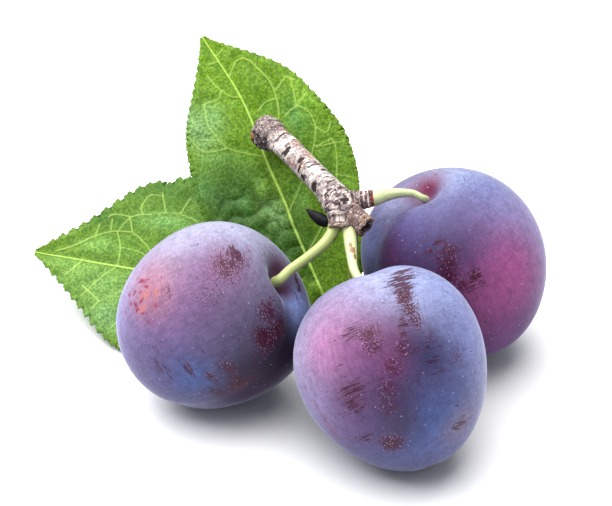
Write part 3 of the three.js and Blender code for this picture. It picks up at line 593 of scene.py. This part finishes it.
CLEAN_BARK = [(26.7, -35, 1.3, 3.0), (22.0, -30, 1.0, 1.6), (13.6, -38, 1.7, 2.4), (9.0, -20, 1.6, 1.6)]
COARSE_LUMP = (0.9, 1.8, 1.8)  # length along the branch, and across it twice
FINE_LUMP = (0.35, 0.8, 0.8)
TORN_LUMP = (0.28, 0.28, 1.0)
PATTERN_SHIFT = 40  # from one branch to the next, so that they don't look alike
COARSE_HEIGHT = 0.1
FINE_HEIGHT = 0.06
WRINKLE_HEIGHT = 0.16
LENTICEL_DEPTH = 0.22
KNUCKLE_END = 8.0  # along the stem, as the next four
END_RING_START = 29.5
CUT_START = 34.4
RIDGES_START = 30
RIDGES_LENGTH = 5.5
RING_RIDGES = 3
RIDGE_HEIGHT = 0.14
SPUR_RINGS = 6
RING_SLANT = 1.2
TORN_LIP = 0.45
STUB_HOLLOW = 1.7


def lump(places, size):
    """Smooth noise from -1 to 1 at each place, with lumps of this size in each direction."""
    return np.array([noise.noise(Vector(spot)) for spot in places / np.array(size)])


# Plum bark: creamy white bands of thin dry skin that peel off mauve-grey ones, fine cracks that
# run round the stem, and dark corky lenticels. It is dry and dull.
bark, tree, surface = new_material("peeling plum bark")
bark_place = add_node(tree, "Attribute", {"attribute_name": "bark_place"}).outputs["Vector"]
lenticel = add_node(tree, "Attribute", {"attribute_name": "lenticel"}).outputs["Fac"]
tone = add_node(tree, "Attribute", {"attribute_name": "tone"})
wide_rings = add_node(tree, "Mapping", Vector=bark_place, Scale=(0.75, 0.25, 0.25))
bands = add_node(tree, "TexNoise", Vector=wide_rings, Scale=1.0, Detail=4.0, Roughness=0.7)
thin_rings = add_node(tree, "Mapping", Vector=bark_place, Scale=(3.0, 0.7, 0.7))
cracks = add_node(tree, "TexNoise", Vector=thin_rings, Scale=1.0, Detail=3.0, Roughness=0.65)
flakes = add_node(tree, "TexNoise", Vector=bark_place, Scale=1 / 0.6, Detail=3.0, Roughness=0.7)
uneven = add_node(tree, "Math", {"operation": "SUBTRACT"}, cracks, 0.5)
corky_edge = add_node(tree, "Math", TIMES_PLUS, uneven, 1.2, lenticel)
pored = layered(tree, tone, [
    (bands, 0.46, 0.54, 0.0, 0.7, linear("#6e5b60")),
    (cracks, 0.52, 0.59, 0.0, 0.8, linear("#33262a")),
    (flakes, 0.54, 0.64, 0.0, 0.5, linear("#efe8e1")),
    (corky_edge, 0.38, 0.55, 0.0, 0.94, linear("#17100f")),
])
rough_bark = add_node(tree, "Math", TIMES_PLUS, cracks, -1.2, flakes)
relief = add_node(tree, "Bump", Height=rough_bark, Strength=0.8, Distance=0.3 * MM)
set_inputs(tree, surface, Base_Color=pored, Roughness=0.85, Specular_IOR_Level=0.2, Normal=relief)

bm = bmesh.new()
scratch = bpy.data.meshes.new("branch")
for branch in BRANCHES.values():
    part = rod(branch["path"], BRANCH_STEPS, TWIG_SIDES, lambda share, angle:
               table(branch["radius"], share) * (1 + TWIG_WOBBLE * np.sin(3 * angle + 9 * share)))
    part.to_mesh(scratch)
    bm.from_mesh(scratch)
    part.free()
bm.to_mesh(scratch)
bm.free()
joined = add_object("joined branches", scratch)
remesh = joined.modifiers.new("grown together", "REMESH")
remesh.mode = "VOXEL"
remesh.voxel_size = TWIG_VOXEL * MM
bm = bmesh.new()
bm.from_object(joined, bpy.context.evaluated_depsgraph_get())
bpy.data.objects.remove(joined)
bmesh.ops.smooth_vert(bm, verts=bm.verts, factor=0.5, use_axis_x=True, use_axis_y=True, use_axis_z=True)

spots = np.array([v.co for v in bm.verts]) / MM + np.array(LAYOUT_ORIGIN)
outward = np.array([v.normal for v in bm.verts])
shares, alongs, outs, radii, turns, aheads = zip(
    *[along_branch(branch, spots) for branch in BRANCHES.values()]
)
owner = np.argmin(outs, axis=0)
share, along, out, radius, turn = [
    np.choose(owner, values) for values in (shares, alongs, outs, radii, turns)
]
ahead = np.choose(owner[:, None], aheads)
stem, lower, right, stub = [(owner == k).astype(float) for k in range(len(BRANCHES))]
bark_place = np.stack([along + PATTERN_SHIFT * owner, radius * np.cos(turn), radius * np.sin(turn)], axis=1)
coarse = lump(bark_place, COARSE_LUMP)
fine = lump(bark_place, FINE_LUMP)
knuckle = stem * smooth((KNUCKLE_END - along) / 3.0)
end_ring = stem * smooth((along - END_RING_START) / 1.5)
lenticels = marked(LENTICELS, along, turn, radius) * stem * (1 - knuckle * 0.4)
rim = smooth((out - 0.55) / 0.3)
spur_ring = 0.5 + 0.5 * np.cos(2 * math.pi * SPUR_RINGS * share + RING_SLANT * np.sin(turn))

# the bark's own lumps and sunken lenticels, the wrinkled knuckle, then the ridges and rings
raised = COARSE_HEIGHT * coarse + FINE_HEIGHT * fine - LENTICEL_DEPTH * lenticels
raised = raised + WRINKLE_HEIGHT * knuckle * coarse + COARSE_HEIGHT * knuckle * fine
ridges = np.cos(2 * math.pi * RING_RIDGES * (along - RIDGES_START) / RIDGES_LENGTH)
raised = raised + RIDGE_HEIGHT * end_ring * ridges * rim
raised = raised + right * WRINKLE_HEIGHT * (spur_ring - 0.5) + (lower + stub) * WRINKLE_HEIGHT * fine
lip = (lower + stub) * smooth((share - 0.75) / 0.2) * rim
torn = lump(np.stack([np.cos(turn), np.sin(turn), share * 0.4 + owner], axis=1), TORN_LUMP)
hollow = stub * smooth((share - 0.85) / 0.1) * smooth((0.78 - out) / 0.3)
forward = TORN_LIP * lip * torn - STUB_HOLLOW * hollow
put(bm, spots + outward * raised[:, None] + ahead * forward[:, None])
bmesh.ops.recalc_face_normals(bm, faces=bm.faces)
twig = add_piece("bark_twig", bm, bark, "bark", "twig")

# the furrows between the wrinkles: dark bark, deepened with painted shade where the surface sinks
furrow_dark_and_shade = smooth((0.02 - 0.7 * coarse - 0.3 * fine) / 0.2)
# painted shade: the end ring's lower side, away from the light, made near-black
painted_shade_side = smooth((-np.sin(turn) * 1.4 - np.cos(turn) * 0.5 - 0.9) / 0.3)
cut_wood = end_ring * smooth((along - CUT_START) / 0.4) * smooth((-np.sin(turn) - 0.97) / 0.02)
# bark colours laid one over another; some of them are painted shade, as marked
coats_and_shade = [
    ("#eee6de", marked(CLEAN_BARK, along, turn, radius) * stem),
    ("#a9765f", 0.85 * marked(PEELED, along, turn, radius) * stem),
    ("#d6c4bb", 0.75 * knuckle),
    ("#95857a", 0.8 * end_ring),
    ("#0d090b", end_ring * painted_shade_side),
    ("#d9822b", cut_wood),
    ("#241819", furrow_dark_and_shade * (0.97 * knuckle + 0.45 * end_ring + 0.5 * lower + 0.5 * stub)),
    ("#9a7359", 0.75 * lower),
    ("#d0b8a4", lower * smooth(spur_ring - 0.3) * 0.7),  # its rings
    ("#4d1c1b", 0.95 * right),
    ("#eedfd6", right * smooth((spur_ring - 0.6) / 0.25) * smooth((0.86 - share) / 0.05)),  # its rings
    ("#8a1d12", right * smooth((share - 0.9) / 0.05)),  # the red collar at its end
    ("#8f6f5c", 0.85 * stub),
    ("#b5762f", stub * smooth((share - 0.86) / 0.08) * smooth(torn + 0.2)),  # torn wood
    # painted shade: the inside of the stub's hollow, made near-black
    ("#0f0908", smooth((hollow - 0.08) / 0.2)),
]
tone = np.tile(linear("#bdb0aa"), (len(spots), 1))
for code, cover in coats_and_shade:
    tone = tinted(tone, code, cover)
add_attribute(twig, "bark_place", bark_place)
add_attribute(twig, "tone", tone)
add_attribute(twig, "lenticel", lenticels)

# ---- bud ---------------------------------------------------------------------------------------
# A pointed winter bud of dark overlapping scales, dry and closed tight. It sits on the wood beside
# the knuckle and leans out over the upper leaf.
BUD_PATH = [(10.2, 8.6, 38.8), (9.6, 8.4, 38.4), (7.4, 8.2, 37.8), (5.2, 9.6, 38.3), (3.1, 11.4, 39.0)]
BUD_RADIUS = [(0, 1.2), (0.5, 1.45), (0.78, 0.95), (1, 0.12)]
BUD_STEPS = 60
BUD_SIDES = 32

# Dry bud scale: nearly black and dull, so it hardly shines.
bud_scale, tree, surface = new_material("dry bud scale")
set_inputs(tree, surface, Base_Color=linear("#07080d"), Roughness=0.6, Specular_IOR_Level=0.15)

bm = rod(BUD_PATH, BUD_STEPS, BUD_SIDES, lambda share, angle: table(BUD_RADIUS, share))
add_piece("pointed_bud", bm, bud_scale, "bud_scale", "bud")

# ---- leaves ------------------------------------------------------------------------------------
# Two fresh plum leaves on their own stalks. A thin blade with a toothed edge is held out by a
# strong midrib and arching side veins, and swells up a little between them.
BLADE_THICKNESS = 0.3
BLADE_ROWS = 300
BLADE_COLUMNS = 120
EDGE_BAND = 0.88  # the part of the half width, from here to the edge, that the teeth draw along
TEETH_FULL = 6.0  # half width from which the teeth have their full size
PLAIN_EDGE = 0.15  # share of the half width that is left unswollen at the edge
QUILT_HEIGHT = 0.55
QUILT_REACH = 2.4
RIB_HEIGHT = 0.22
SIDE_VEIN_HEIGHT = 0.5  # share of the midrib's
RIB_WIDTHS = [(0, 0.3), (0.3, 0.36), (0.5, 0.36), (0.8, 0.22), (1, 0.06)]  # by share of the length
SIDE_VEIN_REACH = 0.45
VEIN_STEPS = 16
TOOTH_SLANT = 0.6
BITE_SCALE = 72.0  # a bite's width is for a blade this long
LUMP_SIZE = (5.5, 4.2, 1.0)
LUMP_HEIGHT = 0.12
CRUMPLE_HEIGHT = 1.3
CRUMPLE_END = 0.52  # share of the length
CREASE_WIDTH = 0.09
CREASE_SHADE = 0.6
NOTCH_SHADE = 0.45
PETIOLE_HOLD = 0.6  # how far the leaf's stalk lies under the blade that it carries
PETIOLE_UNDER = (0.02, 0.12, 0.25, 0.4)  # shares of the blade's length where it does
PETIOLE_RADIUS = [(0, 1.0), (0.05, 0.85), (0.3, 0.8), (0.45, 0.7), (0.75, 0.4), (1, 0.2)]
PETIOLE_STEPS = 160
PETIOLE_SIDES = 16

# midrib: points from the leaf's stalk to its tip; left and right: share of the length, half width
# across: the way from the midrib to the right edge; fold and droop: how the halves rise and fall
# spine and veins: share of the length, and reach from the midrib, which is to the right above 0
# tones_and_painted_light: colour, share, reach, millimetres along and across, strength; bite: share, width,
# depth
LEAVES = {
    "upper": {
        "midrib": [(8.9, 11.9, 10.4), (2.2, 22.9, 23.1), (-5.2, 34.2, 35.3), (-11.8, 45.4, 47.8),
                   (-21.5, 56.6, 58.9)],
        "across": (0.93, 0.2, 0.31), "fold": 0.1, "droop": 0.004,
        "left": [(0, 0.6), (0.05, 6.2), (0.12, 10.8), (0.25, 16.0), (0.38, 18.6), (0.5, 18.3),
                 (0.6, 17.2), (0.7, 15.9), (0.78, 13.5), (0.85, 9.3), (0.92, 4.6), (0.97, 2.0), (1, 0.08)],
        "right": [(0, 0.6), (0.05, 8.2), (0.1, 11.2), (0.16, 12.8), (0.25, 14.9), (0.32, 16.9), (0.38, 18.5),
                  (0.45, 19.3), (0.53, 19.6), (0.61, 18.2), (0.7, 15.3), (0.76, 13.3), (0.82, 10.0),
                  (0.9, 5.3), (0.96, 2.2), (1, 0.08)],
        "petiole": [(12.1, 8.6, 39.0), (12.7, 7.2, 34.0), (13.5, 6.6, 25.0), (13.4, 6.2, 14.0),
                    (12.6, 7.3, 8.6), (10.7, 9.7, 8.3)],
        "base": "#70921a", "teeth": 46, "tooth_out": 0.55, "bite": None,
        "spine": [(0, 0), (0.22, -0.5), (0.33, -0.4), (0.4, 0.1), (0.55, 0), (1, 0)],
        "veins": [
            [(0.76, 0), (0.777, -1.9), (0.812, -3.2), (0.848, -4), (0.875, -4)],
            [(0.545, 0.5), (0.573, -3.1), (0.615, -7.5), (0.66, -8.9), (0.723, -9.8), (0.797, -8.5)],
            [(0.812, -3.2), (0.79, -5.1), (0.8, -8.6)], [(0.615, -7.5), (0.63, -12.9), (0.69, -15)],
            [(0.652, -8.8), (0.677, -13)],
            [(0.56, 0.5), (0.6, 3.5), (0.655, 6.4), (0.708, 7.4), (0.76, 7.8), (0.81, 6.9), (0.855, 5.9),
             (0.872, 4), (0.84, 0.2)],
            [(0.35, -0.2), (0.388, 3), (0.422, 5.6), (0.47, 9), (0.51, 11.1), (0.583, 13.6), (0.64, 13.2),
             (0.665, 11), (0.647, 7.4)],
            [(0.665, 11), (0.723, 12.1), (0.75, 11.8), (0.73, 8)],
            [(0.733, 13.2), (0.753, 11.4)],
            [(0.2, -0.5), (0.27, 6), (0.33, 10), (0.375, 12.9), (0.44, 15.2), (0.505, 16.5), (0.522, 15.8),
             (0.512, 11.9)],
            [(0.583, 13.6), (0.552, 15.6), (0.585, 17.5)], [(0.92, 0), (0.925, 2.2)],
            [(0.52, 11.9), (0.508, 13.8), (0.503, 15.8), (0.492, 18.6)], [(0.398, 13.6), (0.365, 17)],
            [(0.71, 7), (0.71, 4.6), (0.695, 2.2)], [(0.665, 11), (0.69, 14.5)], [(0.9, 0), (0.91, -2.4)],
        ],
        # In this leaf the dark colours at the crumpled foot of its left half are painted shade, and the pale
        # ones are painted sheen.
        "tones_and_painted_light": [
            ("#4e751f", 0.55, -8, 6, 7, 0.75), ("#26441c", 0.45, -13, 8, 6, 1.0),
            ("#29470c", 0.48, -9, 5, 3, 0.9), ("#385c10", 0.46, -5, 5, 4, 0.8),
            ("#294610", 0.24, -3, 9, 7, 0.95), ("#29481c", 0.34, -10, 9, 7, 0.95),
            ("#4f7c42", 0.43, -8.8, 2.5, 1.2, 0.7), ("#577f45", 0.52, -16, 3.5, 2.5, 0.9),
            ("#94c07a", 0.365, -3.2, 3.5, 2.2, 0.8), ("#7a9f45", 0.455, -3.6, 2.5, 1.6, 0.8),
            ("#93bd80", 0.72, -12.5, 7, 3.5, 0.75), ("#8db973", 0.735, -8, 5, 2.6, 0.7),
            ("#6f9c1a", 0.84, -3, 12, 4, 0.4), ("#4f8748", 0.63, 10, 5, 3, 0.7),
            ("#4a7c0c", 0.7, 4.5, 9, 2, 0.5), ("#6fa54a", 0.39, 4, 4, 2, 0.7),
            ("#486a1c", 0.28, 1.8, 6, 1.6, 0.7), ("#4c7210", 0.46, 12, 9, 7, 0.65),
            ("#93c43a", 0.69, 14, 5, 3, 0.5),
        ],
    },
    "lower": {
        "midrib": [(8.2, 17.4, 6.6), (-9.2, 21.4, 10.1), (-26.5, 27.4, 10.0), (-44.1, 31.6, 10.7),
                   (-61.9, 34.4, 12.5)],
        "across": (0.1, 0.89, 0.45), "fold": 0.14, "droop": 0.004,
        "left": [(0, 0.6), (0.08, 6.5), (0.2, 11.0), (0.3, 14.0), (0.4, 17.8), (0.5, 21.0), (0.58, 22.2),
                 (0.66, 20.9), (0.73, 17.2), (0.8, 12.7), (0.87, 7.8), (0.93, 4.4), (0.97, 2.2), (1, 0.08)],
        "right": [(0, 0.6), (0.08, 9.0), (0.2, 17.5), (0.35, 24.5), (0.47, 26.9), (0.57, 26.7),
                  (0.66, 24.2), (0.73, 20.9), (0.78, 16.2), (0.84, 10.4), (0.9, 6.4), (0.96, 3.2),
                  (1, 0.08)],
        "petiole": [(13.6, 9.8, 39.4), (14.0, 9.5, 34.0), (14.2, 9.1, 24.0), (14.7, 10.2, 12.0),
                    (14.2, 13.2, 6.0), (11.6, 16.6, 5.4)],
        "base": "#5e7e15", "teeth": 34, "tooth_out": 1.1, "bite": (0.632, 1.0, 1.7),
        "spine": [(0, 0), (1, 0)],
        "veins": [
            [(0.55, 0), (0.59, 3), (0.63, 5.6), (0.695, 9.2), (0.74, 9.2), (0.772, 8.6), (0.818, 6.8),
             (0.885, 3.1), (0.93, 1.4)],
            [(0.36, 0), (0.385, 4), (0.44, 11), (0.503, 14.8), (0.565, 16.2), (0.608, 16.2), (0.652, 15),
             (0.69, 14.4), (0.723, 13.2), (0.75, 8.9)],
            [(0.725, 13.5), (0.772, 13.4), (0.792, 12.4)],
            [(0.613, 16.2), (0.642, 21.5)], [(0.723, 13.2), (0.7, 9.3)],
            [(0.75, 8.8), (0.728, 5), (0.72, 0)],
            [(0.68, 14.6), (0.695, 16.2), (0.677, 20.2), (0.635, 20.2)], [(0.565, 16.2), (0.55, 21)],
            [(0.2, 0), (0.23, 7), (0.3, 14), (0.37, 19), (0.45, 21), (0.5, 21)], [(0.58, 9), (0.6, 3)],
            [(0.772, 8.6), (0.777, 12)], [(0.818, 6.8), (0.812, 10)],
            [(0.728, 5), (0.657, 4.5), (0.618, 2.4)],
            [(0.72, 0), (0.745, -2), (0.775, -5.5), (0.797, -8.2), (0.81, -10)],
            [(0.6, 0), (0.635, -3.8), (0.69, -7.5), (0.748, -10.9), (0.76, -13)],
            [(0.48, 0), (0.52, -5), (0.57, -10), (0.65, -14), (0.68, -17)], [(0.818, -7), (0.748, -10.4)],
            [(0.84, 0), (0.865, -3), (0.885, -5)], [(0.33, 0), (0.37, -6), (0.43, -12), (0.5, -17)],
        ],
        # the pale colours on this leaf are painted sheen
        "tones_and_painted_light": [
            ("#3d6206", 0.62, 22.5, 17, 4.5, 0.95), ("#3d6206", 0.8, 12, 9, 3, 0.9),
            ("#74a355", 0.6, 13.5, 6, 2.6, 0.8), ("#4e7c12", 0.7, 5, 9, 3, 0.4),
            ("#8fb857", 0.87, -1.5, 7, 2, 0.6), ("#7ca55a", 0.74, -6, 12, 5, 0.6),
            ("#8ab85a", 0.8, 4.6, 5, 2, 0.6), ("#739c64", 0.69, -14.5, 6, 4, 0.8),
        ],
    },
}


def tooth(share, count):
    """A rounded saw tooth that leans to the tip, from 0 to 1, with a smaller one on its back."""
    phase = share * count % 1.0
    small = share * count * 2 % 1.0
    return 0.75 * np.sin(math.pi * phase ** 0.7) + 0.25 * np.sin(math.pi * small ** 0.7)


def vein_distance(leaf, share, reach, length):
    """How far each point of the blade is from the middle of the midrib and of the nearest vein."""
    spots = np.stack([share * length, reach], axis=1)
    lines = [np.array(vein) * (length, 1.0) for vein in (leaf["spine"], *leaf["veins"])]
    lines = [curve_through(line, VEIN_STEPS)[0] for line in lines]
    to_lines = []
    for line in lines:
        nearest = np.full(len(spots), np.inf)
        for start, end in zip(line, line[1:]):
            run = end - start
            part = np.clip((spots - start) @ run / (run @ run), 0, 1)[:, None]
            nearest = np.minimum(nearest, np.linalg.norm(spots - start - part * run, axis=1))
        to_lines.append(nearest)
    return to_lines[0], np.min(to_lines[1:], axis=0)


def blade_reach(leaf, share, v):
    """The reach from the midrib, and how far the teeth push out; v runs from -1 to 1 across."""
    half = np.where(v < 0, table(leaf["left"], share), table(leaf["right"], share))
    if leaf["bite"]:
        middle, wide, deep = leaf["bite"]
        half = half - deep * np.exp(-(((share - middle) * BITE_SCALE / wide) ** 2)) * (v > 0)
    edge = smooth((abs(v) - EDGE_BAND) / (1 - EDGE_BAND)) * np.minimum(1, half / TEETH_FULL)
    edge = edge * leaf["tooth_out"] * (2 * tooth(share, leaf["teeth"]) - 1)
    return half * v + np.copysign(edge, v), edge


def toned(leaf, share, reach, length, shade):
    """The blade's broad colours, with painted shade and sheen among them, and more painted shade where it is
    creased or notched.
    """
    colour = np.tile(linear(leaf["base"]), (len(share), 1))
    for code, middle, off, along, across, strength in leaf["tones_and_painted_light"]:
        away = ((share - middle) * length / along) ** 2 + ((reach - off) / across) ** 2
        colour = tinted(colour, code, strength * np.exp(-away))
    return colour * (1 - shade[:, None] * (1, 1, 1, 0))


# Fresh leaf: satin, and made of small raised cells that are darker towards their edges. A faint
# net of the finest veins lies over them, and the midrib and the side veins are paler still.
leaf_blade, tree, surface = new_material("fresh plum leaf")
leaf_place = add_node(tree, "Attribute", {"attribute_name": "leaf_place"}).outputs["Vector"]
tone = add_node(tree, "Attribute", {"attribute_name": "tone"})
to_rib, rib_size, to_vein = [
    add_node(tree, "Attribute", {"attribute_name": kind}).outputs["Fac"]
    for kind in ("rib_distance", "rib_width", "vein_distance")
]
cells = add_node(tree, "TexVoronoi", Vector=leaf_place, Scale=1.6)
net = add_node(tree, "TexVoronoi", {"feature": "DISTANCE_TO_EDGE"}, Vector=leaf_place, Scale=0.62)
mottle = add_node(tree, "TexNoise", Vector=leaf_place, Scale=1 / 2.2, Detail=4.0, Roughness=0.6)
across_rib = add_node(tree, "Math", {"operation": "DIVIDE"}, to_rib, rib_size)
cell_edge, fine_vein, side_vein, midrib = [
    add_node(tree, "Mix", COLOURS, share, tone, linear(code))
    for share, code in ((0.56, "#1d4a04"), (0.3, "#b6e070"), (0.45, "#cfe67c"), (0.65, "#bcde66"))
]
veined = layered(tree, tone, [
    (cells, 0.2, 0.7, 0.0, 1.0, cell_edge),
    (mottle, 0.35, 0.7, 0.0, 0.3, linear("#2f5c0c")),
    (net, 0.02, 0.08, 0.22, 0.0, fine_vein),
    (to_vein, 0.05, 0.25, 0.6, 0.0, side_vein),
    (across_rib, 0.5, 1.0, 0.85, 0.0, midrib),
])
sunk = add_node(tree, "Math", TIMES_PLUS, cells, -0.5, mottle)
relief = add_node(tree, "Bump", Height=sunk, Strength=0.5, Distance=0.25 * MM)
set_inputs(tree, surface, Base_Color=veined, Roughness=0.5, Specular_IOR_Level=0.15, Normal=relief)

for name, leaf in LEAVES.items():
    line, ahead, length = curve_through(leaf["midrib"], BLADE_ROWS)
    side, down = cross_axes(ahead, leaf["across"])
    bm = bmesh.new()
    bmesh.ops.create_grid(bm, x_segments=BLADE_COLUMNS, y_segments=BLADE_ROWS, size=1.0)
    unit = np.array([v.co for v in bm.verts])
    row = np.round((unit[:, 1] + 1) / 2 * BLADE_ROWS).astype(int)
    share = row / BLADE_ROWS
    reach, edge = blade_reach(leaf, share, unit[:, 0])
    rib_far, vein_far = vein_distance(leaf, share, reach, length)
    rib_width = table(RIB_WIDTHS, share)
    nearest = np.minimum(rib_far, vein_far)
    inner = smooth((1 - abs(unit[:, 0])) / PLAIN_EDGE)
    quilt = QUILT_HEIGHT * (1 - np.exp(-((nearest / QUILT_REACH) ** 2))) * inner
    ribs = RIB_HEIGHT * np.exp(-((vein_far / SIDE_VEIN_REACH) ** 2)) * SIDE_VEIN_HEIGHT * inner
    ribs = ribs + RIB_HEIGHT * np.exp(-((rib_far / (1.4 * rib_width)) ** 2))
    leaf_spots = np.stack([reach, share * length, np.zeros(len(reach))], axis=1)
    lumps = lump(leaf_spots, LUMP_SIZE)
    crumpled = smooth((CRUMPLE_END - share) / 0.08) * smooth((1.0 - reach) / 3.0)
    folds = inner * (LUMP_HEIGHT * lumps + CRUMPLE_HEIGHT * crumpled * (abs(lumps) - 0.2))
    notch = smooth((abs(unit[:, 0]) - 0.91) / 0.08) * (1 - tooth(share, leaf["teeth"]))
    crease = crumpled * np.exp(-((lumps / CREASE_WIDTH) ** 2))
    shade = np.maximum(CREASE_SHADE * crease, NOTCH_SHADE * notch)
    bowed = leaf["fold"] * abs(reach) - leaf["droop"] * reach * reach
    rise = folds + bowed + quilt - QUILT_HEIGHT / 2 + ribs
    spots = line[row] + side[row] * reach[:, None] - down[row] * rise[:, None]
    put(bm, spots + ahead[row] * (TOOTH_SLANT * edge)[:, None])
    piece = add_piece(f"blade_{name}", bm, leaf_blade, "leaf", f"leaf_{name}")
    add_attribute(piece, "leaf_place", leaf_spots)
    add_attribute(piece, "rib_distance", rib_far)
    add_attribute(piece, "rib_width", rib_width)
    add_attribute(piece, "vein_distance", vein_far)
    add_attribute(piece, "tone", toned(leaf, share, reach, length, shade))
    thick = piece.modifiers.new("thickness", "SOLIDIFY")
    thick.thickness = BLADE_THICKNESS * MM
    thick.offset = 0
    spine = table(leaf["spine"], np.arange(BLADE_ROWS + 1) / BLADE_ROWS)
    held = line + side * spine[:, None] + down * PETIOLE_HOLD
    under = [held[round(share * BLADE_ROWS)] for share in PETIOLE_UNDER]
    bm = rod([*leaf["petiole"], *under], PETIOLE_STEPS, PETIOLE_SIDES,
             lambda share, angle: table(PETIOLE_RADIUS, share), upward=(1, 0, 0))
    count = len(bm.verts)
    piece = add_piece(f"petiole_{name}", bm, green_stalk, "leaf", f"leaf_{name}")
    add_attribute(piece, "tone", np.tile(linear("#9fb04e"), (count, 1)))

# ---- studio ------------------------------------------------------------------------------------
# A plain white table in a white room, under one broad soft light that hangs above it, a little to
# the left and behind.
FLOOR_HALF = 2.0  # metres, as the next three
SOFTBOX_PLACE = (-0.3, 0.2, 1.1)
SOFTBOX_LOOK = (0, 0, 0.02)
SOFTBOX_SIZE = 1.9
SOFTBOX_POWER = 60
CAMERA_LOOK = (4.9, 13.3, 22.5)
CAMERA_ELEVATION = 33.0
CAMERA_DISTANCE = 560.0
CAMERA_LENS = 141.99

bm = bmesh.new()
bmesh.ops.create_grid(bm, x_segments=1, y_segments=1, size=FLOOR_HALF)
mesh = bpy.data.meshes.new("table_top")
bm.to_mesh(mesh)
bm.free()
table_top = add_object("table_top", mesh)

# Matt white board: it scatters all its light and has no gloss.
white_board, tree, surface = new_material("matt white board")
set_inputs(tree, surface, Base_Color=linear("#e5e5e6"), Roughness=0.9, Specular_IOR_Level=0.0)
mesh.materials.append(white_board)

world = bpy.data.worlds.new("white room")
bpy.context.scene.world = world
world.use_nodes = True
tree = world.node_tree
set_inputs(tree, tree.nodes["Background"], Color=linear("#f9fcff"), Strength=0.4)

light = bpy.data.lights.new("key softbox", "AREA")
light.shape = "SQUARE"
light.size = SOFTBOX_SIZE
light.energy = SOFTBOX_POWER
softbox = add_object("key softbox", light)
softbox.location = SOFTBOX_PLACE
softbox.rotation_euler = (Vector(SOFTBOX_LOOK) - Vector(SOFTBOX_PLACE)).to_track_quat("-Z", "Y").to_euler()

camera_data = bpy.data.cameras.new("camera")
camera_data.lens = CAMERA_LENS
camera = add_object("camera", camera_data)
tilt = math.radians(CAMERA_ELEVATION)
back = Vector((0, -math.cos(tilt), math.sin(tilt)))
camera.location = (Vector(CAMERA_LOOK) + back * CAMERA_DISTANCE) * MM
camera.rotation_euler = (math.pi / 2 - tilt, 0, 0)
bpy.context.scene.camera = camera
bpy.context.scene.view_settings.view_transform = "Standard"
